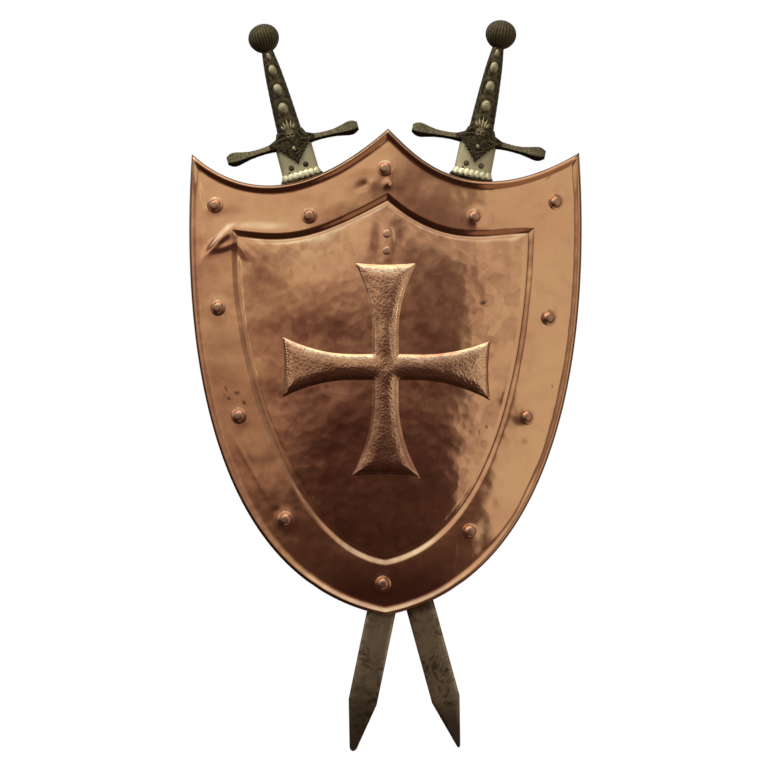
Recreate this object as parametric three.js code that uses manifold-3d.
// A decorative wall shield: one beaten copper sheet with a raised cross, and two small swords crossed behind it.
// Millimetres, +Z up. The front faces -Y, the wall is the plane Y = 0 and the origin is on the hanger's back.
import * as THREE from "three";
import { mergeVertices } from "three/addons/utils/BufferGeometryUtils.js";
import Module from "manifold-3d";

const wasm = await Module();
wasm.setup();

// The gap that touching pieces keep, and the one between a flat strap and the bulged sheet.
const GAP = 0.3;
const STRAP_GAP = 0.8;

// The shield's outline and its recessed panel, as corners and the handles of the curves between them (x, z).
const OUTLINE = {
  peak: [2.2, 102],
  toRightEar: [22.8, 83.3, 69.8, 19.1],
  rightEar: [175.2, 82.8],
  toFootRight: [183.5, -43.2, 176.9, -299.6],
  foot: [0, -334.2],
  toLeftEar: [-176.9, -299.6, -183.5, -43.2],
  leftEar: [-175.2, 81.6],
  toPeak: [-115.9, 28.2, -52.4, 53.5],
};
const PANEL = {
  peak: [1.8, 38.2],
  toRightEar: [54.9, -8, 93.5, 9.2],
  rightEar: [128.7, 9.5],
  toFootRight: [126.7, -92.7, 100.3, -264.2],
  foot: [0, -284],
  toLeftEar: [-88.4, -271.8, -141.6, -84.6],
  leftEar: [-133.2, 6.8],
  toPeak: [-81.1, -1.9, -58.4, 6.2],
};
const CURVE_STEPS = 60;

// The sheet and how far its bulge stands off the wall.
const SHEET = {
  thickness: 1.2,
  halfWidth: 177.8,
  acrossBulge: 28,
  downBulge: 12,
  bulgeCentreZ: -70,
  bulgeHalfHeight: 264,
  standOff: -2,
};

// The rolled rim: how far in from the edge each line lies, and how far it stands forward of the bulge.
const RIM = [
  { inset: 0, lift: 0 },
  { inset: 0.9, lift: 2.3 },
  { inset: 2.6, lift: 3.6 },
  { inset: 6.8, lift: 0 },
];
const BAND_CROWN = 1.2;
const STEP_WIDTH = 4.8;
const PANEL_RECESS = 4.5;
// Rings across the panel, from its edge to the cross: how far in, and their lift.
const PANEL_RINGS = [
  { across: 0.14, lift: -2.8 },
  { across: 0.5, lift: -0.6 },
  { across: 0.8, lift: 0.5 },
];

// The cross: centre, how far each arm reaches, half the width of its end, and the sag of that end.
const CROSS = {
  centre: [0, -111.3],
  arms: [
    { reach: 92.7, halfEnd: 26.7 },
    { reach: 93.6, halfEnd: 26.1 },
    { reach: 96.8, halfEnd: 29.4 },
    { reach: 91.8, halfEnd: 26.5 },
  ],
  halfNeck: 11.3,
  straightNeck: 27,
  flarePower: 1.9,
  endSag: 1.8,
  footLift: 0.8,
  bevelWidth: 3.4,
  bevelLift: 5.2,
  pillow: 1.6,
};
const ARM_STEPS = 12;

// The columns of the mesh between the directions of the cross's corners, clockwise about its centre from the top.
const CORNER_TURN = 16.2;
const KEY_STEPS = [4, 7, 7, 5, 7, 7, 4, 4, 7, 7, 5, 7, 7, 4];

// Border rivets, clockwise from the top (x, z).
const RIVET = { radius: 5.2, height: 3.6 };
const BORDER_RIVETS = [
  [-0.4, 66.1],
  [79.7, 23],
  [153.4, 37.3],
  [147.1, -67],
  [127.3, -156.1],
  [76, -258.7],
  [-2.2, -305.5],
  [-89.6, -247.9],
  [-131.8, -155.2],
  [-150.7, -58],
  [-153.4, 34.6],
  [-68, 23.9],
];
const HANGER_RIVET = { radius: 3.8, height: 0.9, x: 1.4, z: [7.6, -7.6] };

// The hanger: a strap bent to a U, from the sheet's back to the wall, with a hole for a nail.
const HANGER = { width: 15, thickness: 1.5, low: -17, high: 15, holeRadius: 3, holeZ: 8.5, holeSides: 16 };

// The swords: where the guard's middle lies, the lean of the blade, and its depth from the wall.
const SWORDS = [
  { name: "left", guard: [-83.8, 90.9], lean: 15.4, y: -15, bladeEnd: -565, rivet: 11 },
  { name: "right", guard: [84, 92.3], lean: -11.7, y: -18.8, bladeEnd: -560.5, rivet: 1 },
];
const POMMEL = { radius: 13.9, halfHeight: 13.2, z: 97.3, flutes: 14, fluteDepth: 0.07, rows: 7 };
// Sections of the grip, down from the neck: height, half width and half depth.
const GRIP = [
  [90, 4.6, 4.6],
  [83, 5.5, 5.2],
  [72, 7, 6],
  [50, 8.9, 6.8],
  [28, 10.2, 7.4],
  [6, 11.2, 8],
];
const GRIP_SIDES = 12;
const BOSS = { z: [67.4, 49.8, 32.5], halfWidth: [3.8, 4.3, 4.6], halfHeight: 5.6, rise: 2.2 };
// Sections of the cross-guard's arms, out from the middle: distance, half height, half depth.
const ARMS = [
  [0, 5, 6],
  [16, 4.6, 5],
  [26, 3.2, 3.6],
  [40, 3.8, 3.4],
  [52, 6.4, 3.8],
  [57, 5.6, 3.4],
  [61, 2.2, 2],
];
const GUARD_BLOCK = { halfTop: 12, top: 11, halfWidth: 21, halfDepth: 8, bottom: -2.6 };
const PENDANT = { halfTop: 16, tip: -20.5, thickness: 2.6, beadZ: -6.4 };
const MASK = { z: 6, halfWidth: 5.2, halfHeight: 6.6, rise: 3.4, leaves: 5, leafLength: 10, leafFan: 42 };
const COLLAR = {
  top: -5.4,
  flangeTop: -29.5,
  bottom: -35.5,
  halfTop: 14.6,
  halfWidth: 15.6,
  halfFlange: 19.2,
  halfDepth: 5.6,
  flangeHalfDepth: 6.6,
  scallops: 7,
  sides: 28,
};
const BLADE = { halfWidth: 12.9, halfThickness: 1.5, edgeThickness: 0.4, shoulder: 45, tipHalf: 2.6, top: -6 };
const KEEPER = { halfWidth: 15.4, strap: 1.2, clearance: 0.5, halfHeight: 8 };

const COPPER = new THREE.MeshStandardMaterial({ color: 0xb4784f, metalness: 1, roughness: 0.25 });
const ANTIQUE_BRASS = new THREE.MeshStandardMaterial({ color: 0x5a4a32, metalness: 1, roughness: 0.45 });
const PALE_BRASS = new THREE.MeshStandardMaterial({ color: 0xb39d6f, metalness: 1, roughness: 0.4 });
const DARK_STEEL = new THREE.MeshStandardMaterial({ color: 0x5b4a38, metalness: 1, roughness: 0.4 });

const root = new THREE.Group();

// Geometry helpers

function meshOf(name, geometry, material) {
  const mesh = new THREE.Mesh(geometry, material);
  mesh.name = name;
  return mesh;
}

function geometryOf(vertices, faces) {
  const geometry = new THREE.BufferGeometry();
  geometry.setAttribute("position", new THREE.Float32BufferAttribute(vertices.flat(), 3));
  geometry.setIndex(faces.flat());
  return geometry;
}

function solidOf(geometry) {
  const bare = geometry.clone();
  bare.deleteAttribute("normal");
  bare.deleteAttribute("uv");
  const merged = mergeVertices(bare, 1e-4);
  return new wasm.Manifold(
    new wasm.Mesh({
      numProp: 3,
      vertProperties: merged.attributes.position.array,
      triVerts: new Uint32Array(merged.index.array),
    }),
  );
}

function geometryOfSolid(solid) {
  const mesh = solid.getMesh();
  const positions = new Float32Array(mesh.numVert * 3);
  for (let i = 0; i < mesh.numVert; i++) {
    positions.set(mesh.vertProperties.subarray(i * mesh.numProp, i * mesh.numProp + 3), i * 3);
  }
  const geometry = new THREE.BufferGeometry();
  geometry.setAttribute("position", new THREE.BufferAttribute(positions, 3));
  geometry.setIndex(new THREE.BufferAttribute(mesh.triVerts, 1));
  return geometry;
}

function joined(geometries) {
  return geometryOfSolid(geometries.map(solidOf).reduce((sum, solid) => sum.add(solid)));
}

// A closed body through rings of points of equal count, with flat ends. Rings run anticlockwise seen from the last.
function loft(rings) {
  const count = rings[0].length;
  const vertices = rings.flat();
  const faces = [];
  rings.slice(1).forEach((_, r) => {
    for (let i = 0; i < count; i++) {
      const a = r * count + i;
      const b = r * count + ((i + 1) % count);
      faces.push([a, b, b + count], [a, b + count, a + count]);
    }
  });
  const last = (rings.length - 1) * count;
  for (let i = 1; i < count - 1; i++) {
    faces.push([0, i + 1, i], [last, last + i, last + i + 1]);
  }
  return geometryOf(vertices, faces);
}

function ellipse(sides, halfX, halfY, z, wobble = () => 1) {
  return Array.from({ length: sides }, (_, i) => {
    const turn = (2 * Math.PI * i) / sides;
    const grow = wobble(turn);
    return [halfX * grow * Math.cos(turn), halfY * grow * Math.sin(turn), z];
  });
}

function ellipsoid(halfX, halfY, halfZ, place, across = 10, down = 6) {
  const geometry = new THREE.SphereGeometry(1, across, down);
  geometry.scale(halfX, halfY, halfZ);
  geometry.translate(...place);
  return geometry;
}

// An outline in x and z, pushed from one depth to another.
function plate(points, front, back) {
  const geometry = new THREE.ExtrudeGeometry(new THREE.Shape(points.map(([x, z]) => new THREE.Vector2(x, z))), {
    depth: back - front,
    bevelEnabled: false,
  });
  geometry.rotateX(Math.PI / 2);
  geometry.translate(0, back, 0);
  return geometry;
}

// The shield's outlines

function curve(from, handles, to) {
  const points = [from, handles.slice(0, 2), handles.slice(2), to].map(([x, z]) => new THREE.Vector2(x, z));
  return new THREE.CubicBezierCurve(...points).getPoints(CURVE_STEPS).slice(0, -1).map(({ x, y }) => [x, y]);
}

function shieldShape(shape) {
  return [
    ...curve(shape.peak, shape.toRightEar, shape.rightEar),
    ...curve(shape.rightEar, shape.toFootRight, shape.foot),
    ...curve(shape.foot, shape.toLeftEar, shape.leftEar),
    ...curve(shape.leftEar, shape.toPeak, shape.peak),
  ];
}

// The outline moved inwards by a distance, with mitred corners.
function inset(points, distance) {
  const count = points.length;
  return points.map(([x, z], i) => {
    const [px, pz] = points[(i + count - 1) % count];
    const [nx, nz] = points[(i + 1) % count];
    const before = new THREE.Vector2(z - pz, px - x).normalize();
    const after = new THREE.Vector2(nz - z, x - nx).normalize();
    const miter = before.clone().add(after).divideScalar(1 + before.dot(after));
    return [x + miter.x * distance, z + miter.y * distance];
  });
}

function angleOf([x, z]) {
  const angle = THREE.MathUtils.radToDeg(Math.atan2(x - CROSS.centre[0], z - CROSS.centre[1]));
  return angle < 0 ? angle + 360 : angle;
}

// The point where a ray from the cross's centre first meets an outline.
function pointAt(points, angle) {
  const turn = THREE.MathUtils.degToRad(angle);
  const [dx, dz] = [Math.sin(turn), Math.cos(turn)];
  let nearest = Infinity;
  points.forEach(([ax, az], i) => {
    const [bx, bz] = points[(i + 1) % points.length];
    const a = (ax - CROSS.centre[0]) * dz - (az - CROSS.centre[1]) * dx;
    const b = (bx - CROSS.centre[0]) * dz - (bz - CROSS.centre[1]) * dx;
    if (a * b > 0 || a === b) return;
    const t = a / (a - b);
    const reach = (ax + t * (bx - ax) - CROSS.centre[0]) * dx + (az + t * (bz - az) - CROSS.centre[1]) * dz;
    if (reach > 0) nearest = Math.min(nearest, reach);
  });
  return [CROSS.centre[0] + dx * nearest, CROSS.centre[1] + dz * nearest];
}

// The points where an outline meets the mesh's columns, given the two corners of each arm of the cross.
function columnPoints(points, peak, rightEar, leftEar, corners) {
  const [top, right, foot, left] = corners;
  const keys = [
    peak,
    top[1],
    rightEar,
    ...right,
    135,
    foot[0],
    180,
    foot[1],
    225,
    ...left,
    leftEar,
    360 + top[0],
    360 + peak,
  ];
  return KEY_STEPS.flatMap((steps, k) =>
    Array.from({ length: steps }, (_, i) => pointAt(points, keys[k] + ((keys[k + 1] - keys[k]) * i) / steps)),
  );
}

function outlineColumns(points) {
  const [peak, rightEar, , leftEar] = [0, 1, 2, 3].map((corner) => angleOf(points[corner * CURVE_STEPS]));
  const corners = CROSS.arms.map((_, k) => [90 * k - CORNER_TURN, 90 * k + CORNER_TURN]);
  return columnPoints(points, peak, rightEar, leftEar, corners);
}

// The same for the cross, whose corners are the ends of its arms' two sides.
function crossColumns(points) {
  const corners = CROSS.arms.map((_, k) => {
    const first = k * (2 * ARM_STEPS + 2) + ARM_STEPS;
    return [points[first], points[first + 2]].map(angleOf);
  });
  corners[0][0] -= 360;
  return columnPoints(points, 0, 45, 315, corners);
}

function armHalfWidth(along, { reach, halfEnd }) {
  const flare = Math.max(0, (along - CROSS.straightNeck) / (reach - CROSS.straightNeck));
  return CROSS.halfNeck + (halfEnd - CROSS.halfNeck) * flare ** CROSS.flarePower;
}

function crossShape() {
  return CROSS.arms.flatMap((arm, k) => {
    const turn = (k * Math.PI) / 2;
    const side = Array.from({ length: ARM_STEPS + 1 }, (_, i) => {
      const along = CROSS.halfNeck + ((arm.reach - CROSS.halfNeck) * i) / ARM_STEPS;
      return [armHalfWidth(along, arm), along];
    });
    const left = side.map(([w, along]) => [-w, along]);
    const right = side.slice().reverse();
    return [...left, [0, arm.reach - CROSS.endSag], ...right.slice(0, -1)].map(([w, along]) => [
      CROSS.centre[0] + w * Math.cos(turn) + along * Math.sin(turn),
      CROSS.centre[1] - w * Math.sin(turn) + along * Math.cos(turn),
    ]);
  });
}

function mixed(from, to, share) {
  return from.map(([x, z], i) => [x + (to[i][0] - x) * share, z + (to[i][1] - z) * share]);
}

// The bulge of the whole sheet, as a distance in front of the wall.
function bulge(x, z) {
  const across = 1 - (x / SHEET.halfWidth) ** 2;
  const down = 1 - ((z - SHEET.bulgeCentreZ) / SHEET.bulgeHalfHeight) ** 2;
  return SHEET.standOff + SHEET.acrossBulge * across + SHEET.downBulge * down;
}

// The rings of the sheet's front, from its edge to the cross.
function shieldRings() {
  const outline = shieldShape(OUTLINE);
  const panel = shieldShape(PANEL);
  const cross = crossShape();
  const rim = RIM.map(({ inset: distance, lift }) => ({ points: outlineColumns(inset(outline, distance)), lift }));
  const stepTop = outlineColumns(inset(panel, -STEP_WIDTH));
  const stepFoot = outlineColumns(panel);
  const crossFoot = crossColumns(cross);
  const crossTop = crossColumns(inset(cross, CROSS.bevelWidth));
  const centre = crossTop.map(() => CROSS.centre);
  return [
    ...rim,
    { points: mixed(rim.at(-1).points, stepTop, 0.5), lift: BAND_CROWN },
    { points: stepTop, lift: 0 },
    { points: stepFoot, lift: -PANEL_RECESS },
    ...PANEL_RINGS.map(({ across, lift }) => ({ points: mixed(stepFoot, crossFoot, across), lift })),
    { points: crossFoot, lift: CROSS.footLift },
    { points: crossTop, lift: CROSS.bevelLift },
    { points: mixed(crossTop, centre, 0.5), lift: CROSS.bevelLift + CROSS.pillow },
  ];
}

function shieldSheet() {
  const rings = shieldRings();
  const count = rings[0].points.length;
  const front = rings.flatMap(({ points, lift }) => points.map(([x, z]) => [x, -bulge(x, z) - lift, z]));
  const [cx, cz] = CROSS.centre;
  front.push([cx, -bulge(cx, cz) - CROSS.bevelLift - CROSS.pillow, cz]);
  const faces = [];
  rings.slice(1).forEach((_, r) => {
    for (let i = 0; i < count; i++) {
      const a = r * count + i;
      const b = r * count + ((i + 1) % count);
      faces.push([a, b + count, b], [a, a + count, b + count]);
    }
  });
  const inner = (rings.length - 1) * count;
  for (let i = 0; i < count; i++) faces.push([inner + i, front.length - 1, inner + ((i + 1) % count)]);
  return { front, faces, count };
}

// The sheet as a closed body: its front, the same surface set back by its thickness, and the edge between them.
// A steep stretch is set back further, up to twice, so that the sheet stays about as thick there.
function shieldGeometry({ front, faces, count }) {
  const surface = geometryOf(front, faces);
  surface.computeVertexNormals();
  const normals = surface.attributes.normal;
  const back = front.map(([x, y, z], i) => {
    const steepness = Math.max(0.5, Math.abs(normals.getY(i)));
    return [x, y + SHEET.thickness / steepness, z];
  });
  const offset = front.length;
  const edge = [];
  for (let i = 0; i < count; i++) {
    const j = (i + 1) % count;
    edge.push([i, j, j + offset], [i, j + offset, i + offset]);
  }
  const reversed = faces.map(([a, b, c]) => [a + offset, c + offset, b + offset]);
  return geometryOf([...front, ...back], [...faces, ...reversed, ...edge]);
}

// Where the sheet's front lies at a place, and which way it faces.
function seat(sheet, x, z) {
  const corner = (i) => new THREE.Vector3(...sheet.front[i]);
  const ray = new THREE.Ray(new THREE.Vector3(x, -200, z), new THREE.Vector3(0, 1, 0));
  for (const [i, j, k] of sheet.faces) {
    const triangle = new THREE.Triangle(corner(i), corner(j), corner(k));
    const hit = ray.intersectTriangle(triangle.a, triangle.b, triangle.c, false, new THREE.Vector3());
    if (hit) return { point: hit, normal: triangle.getNormal(new THREE.Vector3()) };
  }
  throw new Error("no sheet at " + x + ", " + z);
}

// The furthest back that the sheet comes in a strip beside a place.
function sheetBack(sheet, x, z, halfHeight) {
  const samples = [-1, -0.5, 0, 0.5, 1].map((share) => seat(sheet, x, z + share * halfHeight).point.y);
  return Math.max(...samples) + SHEET.thickness;
}

// Rivets

function rivetGeometry(profile, sides) {
  const points = [[0, 0], ...profile, [0, profile.at(-1)[1]]].map(([r, h]) => new THREE.Vector2(r, h));
  return new THREE.LatheGeometry(points, sides);
}

function domedRivet() {
  const { radius, height } = RIVET;
  const profile = [
    [radius, 0],
    [radius * 0.96, height * 0.4],
    [radius * 0.78, height * 0.8],
    [radius * 0.5, height],
  ];
  return rivetGeometry(profile, 12);
}

function flushRivet() {
  const { radius, height } = HANGER_RIVET;
  const profile = [
    [radius, 0],
    [radius, height * 0.6],
    [radius * 0.8, height],
  ];
  return rivetGeometry(profile, 12);
}

function placeRivet(name, geometry, sheet, x, z) {
  const { point, normal } = seat(sheet, x, z);
  const rivet = meshOf(name, geometry, COPPER);
  rivet.quaternion.setFromUnitVectors(new THREE.Vector3(0, 1, 0), normal);
  rivet.position.copy(point).addScaledVector(normal, GAP);
  return rivet;
}

// The hanger

function hangerGeometry(sheet) {
  const { width, thickness, low, high } = HANGER;
  const front = sheetBack(sheet, HANGER_RIVET.x, 0, -low) + STRAP_GAP;
  const shape = [
    [front, high],
    [front, low],
    [0, low],
    [0, high],
    [-thickness, high],
    [-thickness, low + thickness],
    [front + thickness, low + thickness],
    [front + thickness, high],
  ];
  const strap = new THREE.ExtrudeGeometry(new THREE.Shape(shape.map(([y, z]) => new THREE.Vector2(y, z))), {
    depth: width,
    bevelEnabled: false,
  });
  strap.applyMatrix4(new THREE.Matrix4().makeBasis(
    new THREE.Vector3(0, 1, 0),
    new THREE.Vector3(0, 0, 1),
    new THREE.Vector3(1, 0, 0),
  ));
  strap.translate(-width / 2, 0, 0);
  const hole = new THREE.CylinderGeometry(HANGER.holeRadius, HANGER.holeRadius, 4 * thickness, HANGER.holeSides);
  hole.translate(0, 0, HANGER.holeZ);
  return geometryOfSolid(solidOf(strap).subtract(solidOf(hole)));
}

// Sword pieces, in the sword's own frame: z up the hilt from the guard's middle, x across, the front towards -y

function pommelGeometry() {
  const { radius, halfHeight, z, flutes, fluteDepth, rows } = POMMEL;
  const wobble = (turn) => 1 - fluteDepth * (0.5 - 0.5 * Math.cos(flutes * turn));
  const rings = Array.from({ length: rows }, (_, i) => {
    const down = (Math.PI * (i + 0.6)) / (rows + 0.2);
    const size = radius * Math.sin(down) ** 0.9;
    return ellipse(2 * flutes, size, size, z - halfHeight * Math.cos(down), wobble);
  });
  return loft(rings);
}

function gripGeometry() {
  return loft(GRIP.map(([z, halfX, halfY]) => ellipse(GRIP_SIDES, halfX, halfY, z)).reverse());
}

function gripHalfDepth(z) {
  const k = GRIP.findIndex(([low]) => low <= z);
  const [[high, , deepHigh], [low, , deepLow]] = [GRIP[k - 1], GRIP[k]];
  return deepLow + ((deepHigh - deepLow) * (z - low)) / (high - low);
}

function bossGeometries() {
  return BOSS.z.map((z, i) =>
    ellipsoid(BOSS.halfWidth[i], BOSS.rise + 1.5, BOSS.halfHeight, [0, -gripHalfDepth(z) + 1.2, z], 10, 6),
  );
}

function armGeometry() {
  const half = ARMS.map(([x, high, deep]) => [
    [x, -deep, 0],
    [x, -deep * 0.6, -high],
    [x, deep * 0.6, -high],
    [x, deep, 0],
    [x, deep * 0.6, high],
    [x, -deep * 0.6, high],
  ]);
  const mirrored = half.slice(1).reverse().map((ring) => ring.map(([x, y, z]) => [-x, y, z]));
  return loft([...mirrored, ...half]);
}

function guardBlockGeometry() {
  const { halfTop, top, halfWidth, halfDepth, bottom } = GUARD_BLOCK;
  const outline = [
    [-halfTop, top],
    [-halfTop - 2, 6],
    [-halfWidth, 2.5],
    [-halfWidth, bottom],
    [halfWidth, bottom],
    [halfWidth, 2.5],
    [halfTop + 2, 6],
    [halfTop, top],
  ];
  return plate(outline, -halfDepth, halfDepth);
}

function pendantGeometry() {
  const { halfTop, tip, thickness } = PENDANT;
  const front = -COLLAR.halfDepth - GAP - thickness;
  const side = [
    [halfTop, 1],
    [halfTop * 0.62, -4.5],
    [halfTop * 0.36, -10],
    [halfTop * 0.16, -16],
  ];
  const mirrored = side.slice().reverse().map(([x, z]) => [-x, z]);
  return plate([...side, [0, tip], ...mirrored], front, front + thickness);
}

function maskGeometries() {
  const { z, halfWidth, halfHeight, rise, leaves, leafLength, leafFan } = MASK;
  const face = -GUARD_BLOCK.halfDepth;
  const head = ellipsoid(halfWidth, rise, halfHeight, [0, face, z], 12, 8);
  const nose = ellipsoid(1, 1.5, 2, [0, face - rise, z - 0.6], 8, 6);
  const leafShapes = Array.from({ length: leaves }, (_, i) => {
    const leaf = ellipsoid(1.5, 1.6, leafLength / 2, [0, 0, leafLength / 2], 8, 5);
    leaf.rotateY(THREE.MathUtils.degToRad(leafFan * ((2 * i) / (leaves - 1) - 1)));
    leaf.translate(0, face, z + 3);
    return leaf;
  });
  const bead = ellipsoid(1.7, 1.6, 2.2, [0, -COLLAR.halfDepth - GAP - PENDANT.thickness, PENDANT.beadZ], 8, 6);
  return [head, nose, ...leafShapes, bead];
}

function hiltGeometry() {
  return joined([
    pommelGeometry(),
    gripGeometry(),
    ...bossGeometries(),
    armGeometry(),
    guardBlockGeometry(),
    pendantGeometry(),
    ...maskGeometries(),
  ]);
}

function collarGeometry() {
  const { sides, scallops, halfDepth, halfWidth, halfTop, halfFlange, flangeHalfDepth } = COLLAR;
  const lobes = (turn) => 1 - 0.035 * Math.abs(Math.sin(scallops * turn));
  const outer = loft([
    ellipse(sides, halfFlange, flangeHalfDepth, COLLAR.bottom, lobes),
    ellipse(sides, halfFlange, flangeHalfDepth, COLLAR.bottom + 2.2, lobes),
    ellipse(sides, halfWidth, halfDepth, COLLAR.flangeTop),
    ellipse(sides, halfTop, halfDepth, COLLAR.top),
  ]);
  const slot = new THREE.BoxGeometry(2 * (BLADE.halfWidth + GAP), 2 * (BLADE.halfThickness + GAP), 80);
  slot.translate(0, 0, COLLAR.bottom);
  return geometryOfSolid(solidOf(outer).subtract(solidOf(slot)));
}

function bladeGeometry(end) {
  const { halfWidth, halfThickness, edgeThickness, shoulder, tipHalf, top } = BLADE;
  const section = (z, half) => [
    [half, edgeThickness, z],
    [half * 0.4, halfThickness, z],
    [-half * 0.4, halfThickness, z],
    [-half, edgeThickness, z],
    [-half, -edgeThickness, z],
    [-half * 0.4, -halfThickness, z],
    [half * 0.4, -halfThickness, z],
    [half, -edgeThickness, z],
  ];
  return loft([
    section(end, tipHalf * 0.45),
    section(end + 2, tipHalf),
    section(end + shoulder, halfWidth),
    section(top, halfWidth),
  ]);
}

// A keeper: a strap behind the blade, closed round it and riveted up to the sheet's back.
function keeperGeometry(sheet, sword, z) {
  const { halfWidth, strap, clearance, halfHeight } = KEEPER;
  const lean = THREE.MathUtils.degToRad(sword.lean);
  const x = sword.guard[0] + (sword.guard[1] - z) * Math.tan(lean);
  const reach = halfHeight + halfWidth * Math.abs(Math.sin(lean));
  const ends = [-1, 1].map((side) => sheetBack(sheet, x + side * halfWidth, z, reach) + STRAP_GAP);
  const rear = sword.y + BLADE.halfThickness + clearance;
  const fore = sword.y - BLADE.halfThickness - clearance;
  const box = (left, right, front, back) => [
    [left, back],
    [left, Array.isArray(front) ? front[0] : front],
    [right, Array.isArray(front) ? front[1] : front],
    [right, back],
  ];
  const shape = new THREE.Shape(
    box(-halfWidth, halfWidth, ends, rear + strap).map(([u, v]) => new THREE.Vector2(u, v)),
  );
  const inside = halfWidth - strap;
  const cells = [
    box(-inside, inside, fore, rear),
    box(-inside, inside, ends.map((y) => y + strap), fore - strap),
  ];
  shape.holes = cells.map((cell) => new THREE.Path(cell.map(([u, v]) => new THREE.Vector2(u, v))));
  const geometry = new THREE.ExtrudeGeometry(shape, { depth: 2 * halfHeight, bevelEnabled: false });
  geometry.translate(0, 0, -halfHeight);
  geometry.rotateY(-lean);
  geometry.translate(x, 0, z);
  return geometry;
}

function addSword(sheet, sword) {
  const group = new THREE.Group();
  group.add(meshOf(sword.name + "_hilt", hiltGeometry(), ANTIQUE_BRASS));
  group.add(meshOf(sword.name + "_collar", collarGeometry(), PALE_BRASS));
  group.add(meshOf(sword.name + "_blade", bladeGeometry(sword.bladeEnd), DARK_STEEL));
  group.rotation.y = -THREE.MathUtils.degToRad(sword.lean);
  group.position.set(sword.guard[0], sword.y, sword.guard[1]);
  root.add(group);
  const [, rivetZ] = BORDER_RIVETS[sword.rivet];
  root.add(meshOf(sword.name + "_keeper", keeperGeometry(sheet, sword, rivetZ), COPPER));
}

// The whole shield

const sheet = shieldSheet();
root.add(meshOf("shield", shieldGeometry(sheet), COPPER));
BORDER_RIVETS.forEach(([x, z], i) => {
  root.add(placeRivet("border_rivet_" + (i + 1), domedRivet(), sheet, x, z));
});
["upper", "lower"].forEach((name, i) => {
  root.add(placeRivet("hanger_rivet_" + name, flushRivet(), sheet, HANGER_RIVET.x, HANGER_RIVET.z[i]));
});
root.add(meshOf("hanger", hangerGeometry(sheet), COPPER));
SWORDS.forEach((sword) => addSword(sheet, sword));

export default root;
